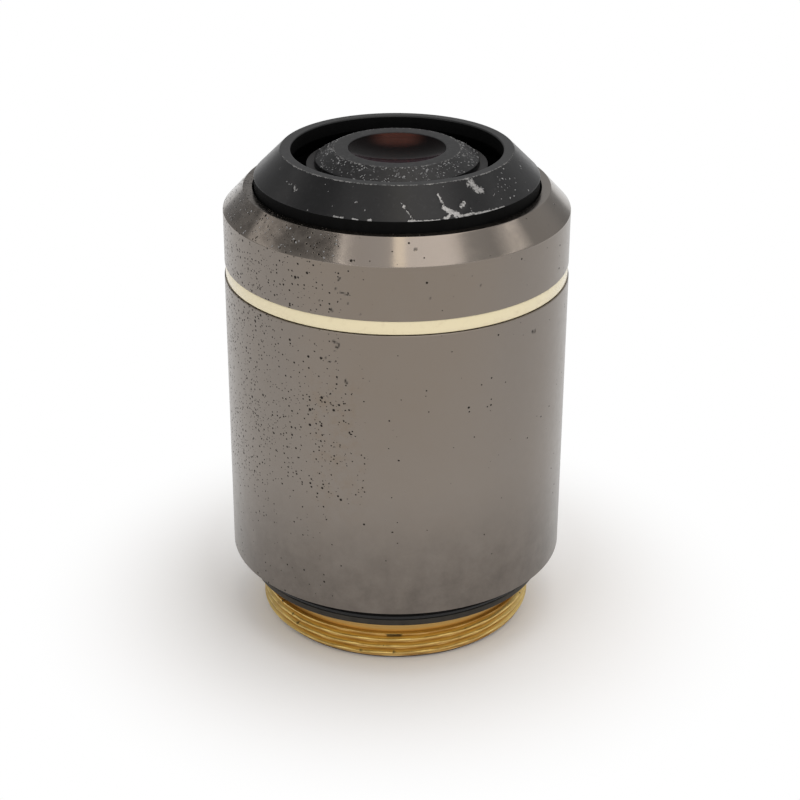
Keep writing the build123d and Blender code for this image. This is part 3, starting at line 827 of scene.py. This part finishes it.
def bezel_chips_and_glint(degrees, radius, height):
    outside = radius > CHIPS_FROM_RADIUS
    mask = 0.9 * stroke_mask(degrees, radius, height, BEZEL_CHIPS) * outside
    edge = np.hypot(radius - RIM_RADIUS + 0.06, height - NOSE_TOP + 0.06)
    wave = 0.5 + 0.5 * np.sin(np.radians(degrees) * 17 + 1.3) * np.sin(np.radians(degrees) * 41)
    # Worn bare edge of the rim, with a painted highlight
    worn = np.clip(1.25 - edge / 0.12, 0, 1) * (0.85 + 0.35 * wave)
    # Painted highlight: the rim's edge is brightest on the camera side
    front = np.clip(np.cos(np.radians(degrees)) * 1.3 + 0.35, 0.25, 1)
    return np.maximum(mask, worn * front), mask * CHIP_DEPTH


def bezel_shade(radius, height):
    """The neck of the bezel, and all of its bore but the flat of the rim."""
    neck = (height < NECK_TOP) & (radius > 12.5)
    bore = (height < RIM_FOOT) & (radius + height < SHADE_BELOW_SUM)
    return neck | bore


def make_black_bezel():
    tail_bore, tail_radius, tail_foot = 11.50, 12.25, 34.1526
    neck_radius, cone_foot = 12.65, 42.7526
    rim_bore, rim_foot = 9.37, 43.9026
    seat_bore, seat_foot, seat_top = 11.10, 40.0026, 42.0026
    outline = rounded([
        (tail_bore, tail_foot), (tail_radius, tail_foot), (tail_radius, TUBE_TOP),
        (neck_radius, TUBE_TOP), (neck_radius, cone_foot, 0.05), (RIM_RADIUS, NOSE_TOP, 0.12),
        (rim_bore, NOSE_TOP, 0.12), (rim_bore, rim_foot), (seat_bore, seat_top),
        (seat_bore, seat_foot), (tail_bore, seat_foot),
    ])
    outline = divided(outline, 0.10, lambda r, z: z > 42.6 and r + z > FINE_ABOVE_SUM)
    turned(
        "black_bezel", outline,
        make_anodised("bezel_black_dressed", 0.30, dust=0.10), ["nose_bezel"], FINE_TURN,
        marks=("chips", bezel_chips_and_glint), inner=(make_black_and_recess_shade(), bezel_shade),
    )


NOSE_LAND_RADIUS = 5.64


def nose_edge_wear(degrees, radius, height):
    edge = np.hypot(radius - NOSE_LAND_RADIUS + 0.02, height - NOSE_TOP + 0.02)
    wave = 0.5 + 0.5 * np.sin(np.radians(degrees) * 23) * np.sin(np.radians(degrees) * 7 + 2)
    return np.clip(1.2 - edge / 0.09, 0, 1) * (0.5 + 0.3 * wave), np.zeros(degrees.shape)


def make_nose_cone():
    lip_bore, lip_foot = 4.32, 44.8226
    lens_bore, lens_seat = 5.62, 42.7909
    lens_bore_top = 43.9726
    cone_radius, cone_foot = 7.27, 44.2026
    flange_radius, flange_foot, flange_top = 7.97, 35.8026, 37.0026
    bore = 6.22
    outline = rounded([
        (lip_bore, NOSE_TOP, 0.05), (NOSE_LAND_RADIUS, NOSE_TOP, 0.05),
        (cone_radius, cone_foot, 0.05), (cone_radius, flange_top), (flange_radius, flange_top),
        (flange_radius, flange_foot), (bore, flange_foot), (bore, lens_seat),
        (lens_bore, lens_seat), (lens_bore, lens_bore_top), (lip_bore, lip_foot),
    ])
    outline = divided(outline, 0.3, lambda r, z: z > 44.0)
    turned(
        "nose_cone", outline, make_anodised("cell_black_dressed", 0.40, dust=0.55),
        ["nose_cell"], marks=("chips", nose_edge_wear),
    )


def make_black_body():
    """The tube; its collar, with a bevel and a groove, shows below the barrel."""
    foot_radius, foot_step = 13.80, 5.42
    collar_radius = 14.20
    bevel_foot, bevel_top = 5.62, 5.92
    groove_radius, groove_top = 13.92, 6.50
    bore, bore_step = 12.30, 12.0
    outline = rounded([
        (SEAT_BORE, SEAT_TOP), (foot_radius, SEAT_TOP), (foot_radius, foot_step),
        (collar_radius, foot_step, 0.04), (collar_radius, bevel_foot, 0.04),
        (groove_radius, bevel_top, 0.04), (groove_radius, groove_top), (collar_radius, groove_top),
        (collar_radius, COLLAR_TOP), (TUBE_RADIUS, COLLAR_TOP), (TUBE_RADIUS, TUBE_TOP),
        (bore, TUBE_TOP), (bore, bore_step), (SEAT_BORE, bore_step),
    ])
    collar_black = make_anodised("collar_black_dressed", 0.16)
    turned("black_body", outline, collar_black, ["body_tube"])


def make_seat_ring():
    radius = 13.90
    outline = rounded([
        (SEAT_BORE, SEAT_FACE), (radius, SEAT_FACE, 0.10), (radius, SEAT_TOP, 0.10),
        (SEAT_BORE, SEAT_TOP),
    ])
    turned("seat_ring", outline, make_satin_ring(), ["parfocal_ring"])


def make_brass_mount():
    bore, foot_bevel = 11.40, 0.12
    groove_radius, groove_top = 12.35, 4.60
    spigot_radius, spigot_top = 13.05, 9.60
    outline = [
        (bore, foot_bevel), (bore + foot_bevel, 0.0), (THREAD_RADIUS, 0.0),
        (THREAD_RADIUS, THREAD_LENGTH), (groove_radius, THREAD_LENGTH), (groove_radius, groove_top),
        (spigot_radius, groove_top), (spigot_radius, spigot_top), (bore, spigot_top),
    ]
    outline = divided(outline, THREAD_LENGTH / THREAD_STEPS, lambda r, z: r == THREAD_RADIUS)
    turned(
        "brass_mount", outline, make_brass(), ["thread_mount"], THREAD_TURN,
        reshape=thread_shape, marks=("marks", thread_marks_and_contact_shadow),
    )


def make_turned_pieces():
    gunmetal = make_gunmetal()
    make_barrel_sleeve(gunmetal)
    make_shoulder_sleeve(gunmetal)
    make_enamel_band()
    make_black_bezel()
    make_nose_cone()
    make_black_body()
    make_seat_ring()
    make_brass_mount()


# Front lens: heights, radii of its rims, and the curves of its hollow front and bulging rear
LENS_FRONT_EDGE = 44.8026
LENS_VERTEX = 44.3759
LENS_BEVEL_FOOT = 43.9526
LENS_REAR = 40.2759
LENS_FRONT_RADIUS = 4.3
LENS_RADIUS = 5.6
LENS_FRONT_CURVE = -14.0
LENS_REAR_CURVE = -7.2
LENS_SEGMENTS = 180
SHARP_LENS_EDGE = math.radians(25)


def sphere_points(vertex, curve, radius, steps):
    """Profile of a spherical face from the axis to its edge; a curve above zero has its centre below."""
    points = []
    for step in range(steps + 1):
        r = radius * step / steps
        points.append((r, vertex - curve + math.copysign(math.sqrt(curve**2 - r**2), curve)))
    return points


def lens_piece(name, front, rear, edge, material, replaced):
    """A lens of finer mesh than the CAD's: front and rear are profiles from the axis out."""
    rings = (front + edge + rear[::-1])[1:-1]
    points = [(0, 0, front[0][1])]
    for i in range(LENS_SEGMENTS):
        a = math.tau * i / LENS_SEGMENTS
        points += [(r * math.sin(a), -r * math.cos(a), z) for r, z in rings]
    last = len(points)
    points.append((0, 0, rear[0][1]))
    count = len(rings)
    faces = []
    for i in range(LENS_SEGMENTS):
        a, b = 1 + i * count, 1 + (i + 1) % LENS_SEGMENTS * count
        faces.append((0, b, a))
        faces += [(a + j, b + j, b + j + 1, a + j + 1) for j in range(count - 1)]
        faces.append((a + count - 1, b + count - 1, last))
    mesh = bpy.data.meshes.new(name)
    mesh.from_pydata([Vector(p) * MM for p in points], [], faces)
    mesh.shade_smooth()
    mesh.set_sharp_from_angle(angle=SHARP_LENS_EDGE)
    turn_outwards(mesh)
    piece = new_piece(name, mesh, material)
    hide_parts(*replaced)


def make_front_lens():
    front = sphere_points(LENS_VERTEX, LENS_FRONT_CURVE, LENS_FRONT_RADIUS, steps=20)
    rear = sphere_points(LENS_REAR, LENS_REAR_CURVE, LENS_RADIUS, steps=24)
    edge = [(LENS_FRONT_RADIUS, LENS_FRONT_EDGE), (LENS_RADIUS, LENS_BEVEL_FOOT)]
    lens_piece("coated_lens", front, rear, edge, make_front_glass(), ["front_lens"])


# Lint and dust: how many flakes, the surface that they lie on as (radius, height) at both ends, and
# the angles that they lie between
LINT_SPREADS = (
    (620, (5.72, 45.06), (7.22, 44.24), -180, 180),
    (60, (5.55, 45.09), (5.72, 45.05), -180, 180),
    (60, (13.8, 41.6), (15.3, 40.0), -80, -20),
    (26, (10.4, 45.0), (12.5, 42.9), 20, 80),
    (12, (10.4, 45.0), (12.5, 42.9), -70, 20),
)
FLAKE_SIDES = 7
FLAKE_LIFT = 0.004
FLAKE_SINK = 0.01
FLAKE_TOP = NOSE_TOP - 0.002


def flake_corners(centre, normal):
    """The rim of a flattened flake, then its top and its bottom, none of them above the nose."""
    sideways = normal.orthogonal().normalized()
    sideways.rotate(Matrix.Rotation(random.uniform(0, math.tau), 3, normal))
    along = normal.cross(sideways)
    half_length = random.uniform(0.035, 0.14)
    half_width = half_length * random.uniform(0.3, 0.8)
    corners = []
    for k in range(FLAKE_SIDES):
        turn = math.tau * k / FLAKE_SIDES
        wobble = random.uniform(0.7, 1.1)
        reach = sideways * math.cos(turn) * half_length + along * math.sin(turn) * half_width
        corners.append(centre + reach * wobble)
    corners.append(centre + normal * min(half_width * 0.35, FLAKE_TOP - centre.z))
    corners.append(centre - normal * FLAKE_SINK)
    return [Vector((corner.x, corner.y, min(corner.z, NOSE_TOP))) for corner in corners]


def make_lint_specks():
    """Small flattened flakes, all in one mesh."""
    points, faces = [], []
    for count, start, end, low, high in LINT_SPREADS:
        slope = Vector((end[0] - start[0], end[1] - start[1])).normalized()
        for _ in range(count):
            share = random.random()
            angle = math.radians(random.uniform(low, high))
            r = start[0] + (end[0] - start[0]) * share
            z = start[1] + (end[1] - start[1]) * share
            outward = Vector((math.sin(angle), -math.cos(angle), 0))
            normal = (outward * -slope.y + Vector((0, 0, slope.x))).normalized()
            centre = outward * r + Vector((0, 0, z)) + normal * FLAKE_LIFT
            base = len(points)
            top = base + FLAKE_SIDES
            points += flake_corners(centre, normal)
            for k in range(FLAKE_SIDES):
                here, after = base + k, base + (k + 1) % FLAKE_SIDES
                faces += [(here, after, top), (after, here, top + 1)]
    mesh = bpy.data.meshes.new("lint_specks")
    mesh.from_pydata([point * MM for point in points], [], faces)
    mesh.shade_smooth()
    new_piece("lint_specks", mesh, make_lint())


def dress_inner_nodes():
    """Materials for the CAD nodes that stay as they are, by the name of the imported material."""
    dressed = {
        "crown_glass": make_glass("crown_glass_dressed", CROWN_TINT, CROWN_INDEX),
        "flint_glass": make_glass("flint_glass_dressed", FLINT_TINT, FLINT_INDEX),
        "screw_steel": make_steel(),
        "black_brass": make_black_brass(),
    }
    for node in nodes.values():
        packed = node.data.materials[0].name
        for start, material in dressed.items():
            if packed.startswith(start):
                node.data.materials[0] = material


# Floor and light
FLOOR_RADIUS = 1.6
FLOOR_SIDES = 96
FLOOR_COLOUR = (0.90, 0.89, 0.88, 1)
# Painted reflection: the warm tint that only the metal's reflections see on the floor in front of it
FLOOR_REFLECTION_TINT = (0.88, 0.82, 0.74, 1)
WHITE = (1, 1, 1, 1)
# Soft edges on the floor in mm: where it turns pure white, and where the warm tint painted into its
# reflections begins
WHITE_BEHIND = (-10.0, 45.0)
WHITE_AWAY = (13.0, 36.0)
WARM_REFLECTION_IN_FRONT = (-35.0, -90.0)


def make_floor():
    mesh = bpy.data.meshes.new("floor")
    turns = [math.tau * k / FLOOR_SIDES for k in range(FLOOR_SIDES)]
    corners = [(FLOOR_RADIUS * math.cos(turn), FLOOR_RADIUS * math.sin(turn), 0) for turn in turns]
    mesh.from_pydata(corners, [], [tuple(range(FLOOR_SIDES))])
    floor = bpy.data.objects.new("floor", mesh)
    bpy.context.scene.collection.objects.link(floor)
    mesh.materials.append(make_floor_paper())


def make_floor_paper():
    """White paper that takes the shadow close to the object and is plain white further off; in reflections
    it carries a painted warm tint in front.
    """
    material, tree, shader = new_material("floor_paper", Roughness=0.9, Specular_IOR_Level=0.1)
    position = place_mm(tree)
    grain = speckle(tree, position, scale=0.8, detail=4.0)
    wire(tree, shader, Base_Color=blend_colour(tree, grain, FLOOR_COLOUR, dimmed(FLOOR_COLOUR, 0.985)))
    depth = add(tree, "ShaderNodeSeparateXYZ", {0: position}).outputs[1]
    distance = add(tree, "ShaderNodeVectorMath", {0: position}, operation="LENGTH").outputs[1]
    rays = add(tree, "ShaderNodeLightPath").outputs
    seen = calc(tree, "MAXIMUM", rays["Is Camera Ray"], rays["Is Glossy Ray"])
    seen = calc(tree, "MAXIMUM", seen, rays["Is Transmission Ray"])
    behind = smooth(tree, depth, *WHITE_BEHIND)
    away = smooth(tree, distance, *WHITE_AWAY)
    # Painted reflection: a warm tint in front, seen only by glossy rays
    reflected_warmth = calc(tree, "MULTIPLY", smooth(tree, depth, *WARM_REFLECTION_IN_FRONT), rays["Is Glossy Ray"])
    paper = blend_colour(tree, reflected_warmth, WHITE, FLOOR_REFLECTION_TINT)
    white = add(tree, "ShaderNodeEmission", {"Color": paper, "Strength": 1.0}).outputs[0]
    share = calc(tree, "MULTIPLY", calc(tree, "MAXIMUM", behind, away), seen)
    mixed = add(tree, "ShaderNodeMixShader", {0: share, 1: shader.outputs[0], 2: white}).outputs[0]
    tree.links.new(mixed, tree.nodes["Material Output"].inputs["Surface"])
    return material


# Lamps hang in one plane and face straight down: x from and to and y from and to in metres, then
# radiance and colour
LAMP_HEIGHT = 0.58
LAMPS = {
    "softbox_left": (-0.268, -0.016, -0.42, 0.30, 0.62, (1.0, 0.96, 0.95)),
    "softbox_right": (0.043, 0.330, -0.42, 0.30, 1.35, (1.0, 0.955, 0.93)),
    "warm_strip": (-0.016, 0.043, -0.42, 0.30, 2.1, (1.0, 0.92, 0.78)),
    "warm_strip_right": (0.306, 0.330, -0.42, 0.10, 1.5, (1.0, 0.90, 0.72)),
    "edge_strip": (-0.280, -0.268, -0.42, 0.10, 5.0, (1.0, 0.97, 0.93)),
    "streak_right": (0.62, 0.72, -0.10, 0.30, 1.7, (1.0, 0.97, 0.94)),
    "streak_left": (-0.98, -0.70, 0.0, 0.55, 0.85, (1.0, 0.97, 0.94)),
}


def make_lights():
    """Softboxes side by side overhead, and narrow strips that show as bands in the shoulder."""
    for name, (x_from, x_to, y_from, y_to, radiance, colour) in LAMPS.items():
        data = bpy.data.lights.new(name, "AREA")
        data.shape = "RECTANGLE"
        data.size = x_to - x_from
        data.size_y = y_to - y_from
        data.energy = radiance * math.pi * data.size * data.size_y
        data.color = colour
        lamp = bpy.data.objects.new(name, data)
        lamp.location = ((x_from + x_to) / 2, (y_from + y_to) / 2, LAMP_HEIGHT)
        bpy.context.scene.collection.objects.link(lamp)


WORLD_LEFT = 0.38
WORLD_RIGHT = 0.62
WORLD_FRONT = 1.3


def make_world():
    """White below the horizon, a grey room above it, and a broad fill from the camera side."""
    world = bpy.data.worlds.new("studio")
    bpy.context.scene.world = world
    world.use_nodes = True
    tree = world.node_tree
    direction = add(tree, "ShaderNodeTexCoord").outputs["Generated"]
    split = add(tree, "ShaderNodeSeparateXYZ", {0: direction}).outputs
    level = blend_value(tree, smooth(tree, split[0], -0.35, 0.35), WORLD_LEFT, WORLD_RIGHT)
    level = blend_value(tree, smooth(tree, split[2], 0.35, 0.15), level, WORLD_LEFT)
    fill = calc(tree, "MULTIPLY", smooth(tree, split[1], -0.1, -0.6), smooth(tree, split[2], 0.80, 0.62))
    level = blend_value(tree, fill, level, WORLD_FRONT)
    level = blend_value(tree, smooth(tree, split[2], 0.02, -0.02), level, 1.0)
    rays = add(tree, "ShaderNodeLightPath").outputs
    level = blend_value(tree, rays["Is Camera Ray"], level, 1.0)
    background = tree.nodes["Background"]
    colour = add(tree, "ShaderNodeCombineColor", {0: level, 1: level, 2: level}).outputs[0]
    tree.links.new(colour, background.inputs["Color"])
    background.inputs["Strength"].default_value = 1.0


make_camera()
make_floor()
make_lights()
make_world()
bpy.context.scene.view_settings.view_transform = "Standard"
make_turned_pieces()
make_front_lens()
make_lint_specks()
dress_inner_nodes()
